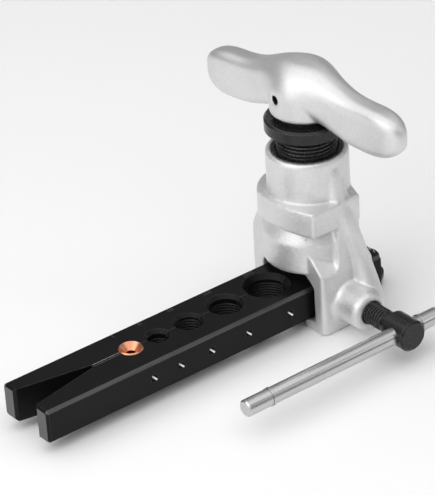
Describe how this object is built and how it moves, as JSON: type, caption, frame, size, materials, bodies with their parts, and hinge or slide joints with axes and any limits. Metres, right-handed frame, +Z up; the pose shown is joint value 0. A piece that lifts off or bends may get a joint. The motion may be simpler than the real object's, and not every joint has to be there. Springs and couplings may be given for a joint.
{
  "type": "flaring tool",
  "caption": "Eccentric-cone tube flaring tool: split clamping bar with graded countersunk bores, sliding cast yoke, wing-handled feed screw and side clamp screw with tommy bar.",
  "frame": {"origin": "centre of the largest tube bore on the bar's underside", "axes": "+X along the bar from its open end to its hinge, +Z up towards the handle, -Y towards the clamp screw's head"},
  "size_m": [0.2185, 0.1401, 0.138],
  "materials": {
    "bar_black": "satin",
    "black_oxide": "satin black oxide",
    "bright_steel": "ground",
    "chrome": "satin",
    "cast_aluminium": "bead-blasted casting",
    "handle_aluminium": "satin casting",
    "copper": "polished copper"
  },
  "bodies": {
    "rear_jaw": {"rear_jaw": "bar_black", "jaw_dowels": "bright_steel", "hinge_pin": "black_oxide", "hinge_washer": "bright_steel", "hinge_circlip": "black_oxide", "copper_tube": "copper"},
    "front_jaw": {"front_jaw": "bar_black"},
    "yoke": {"yoke_casting": "cast_aluminium", "feed_bush": "black_oxide", "clamp_bush": "black_oxide"},
    "feed_washer": {"thrust_washer": "bright_steel"},
    "feed_screw": {"feed_screw": "black_oxide"},
    "handle": {"spindle": "bright_steel", "wing_handle": "handle_aluminium", "handle_pin": "black_oxide", "clutch_cup": "black_oxide", "clutch_balls": "bright_steel", "clutch_spring": "black_oxide", "thrust_balls": "bright_steel", "cone_washer": "bright_steel", "cone_bearing_shell": "bright_steel", "cone_needles": "bright_steel"},
    "cone": {"flaring_cone": "bright_steel", "cone_retainer": "black_oxide"},
    "clamp_pad": {"clamp_pad": "bright_steel"},
    "clamp_screw": {"clamp_screw": "black_oxide"},
    "tommy_bar": {"tommy_bar": "chrome", "tommy_rings": "chrome"}
  },
  "joints": [
    {"name": "jaw_open", "type": "hinge", "parent": "rear_jaw", "child": "front_jaw", "pos_m": [0.0615, 0, 0.009], "axis": [0, 0, -1], "range_deg": [-2.5, 0]},
    {"name": "yoke_slide", "type": "slide", "parent": "rear_jaw", "child": "yoke", "axis": [-1, 0, 0], "range_m": [0, 0.1132]},
    {"name": "feed_travel", "type": "slide", "parent": "yoke", "child": "feed_washer", "axis": [0, 0, -1], "range_m": [-0.012, 0.0006]},
    {"name": "feed_turn", "type": "hinge", "parent": "feed_washer", "child": "feed_screw", "pos_m": [0.0295, 0, 0.07], "axis": [0, 0, -1], "range_deg": [-2161, 109]},
    {"name": "clutch_slip", "type": "hinge", "parent": "feed_screw", "child": "handle", "pos_m": [0.0295, 0, 0.1], "axis": [0, 0, -1], "continuous": true},
    {"name": "cone_spin", "type": "hinge", "parent": "handle", "child": "cone", "pos_m": [0.0305, 0, 0.03], "axis": [0, 0, -1], "continuous": true},
    {"name": "clamp_travel", "type": "slide", "parent": "yoke", "child": "clamp_pad", "axis": [0, 1, 0], "range_m": [-0.01, 0.00215]},
    {"name": "clamp_turn", "type": "hinge", "parent": "clamp_pad", "child": "clamp_screw", "pos_m": [0.0295, -0.05, 0.0095], "axis": [0, 1, 0], "range_deg": [-2058, 442.5]},
    {"name": "tommy_slide", "type": "slide", "parent": "clamp_screw", "child": "tommy_bar", "axis": [1, 0, 0], "range_m": [-0.001, 0.0745]}
  ],
  "couplings": [
    {"joint": "feed_turn", "follows": "feed_travel", "rad_per_m": 3141.6},
    {"joint": "clamp_turn", "follows": "clamp_travel", "rad_per_m": 3590.4}
  ]
}
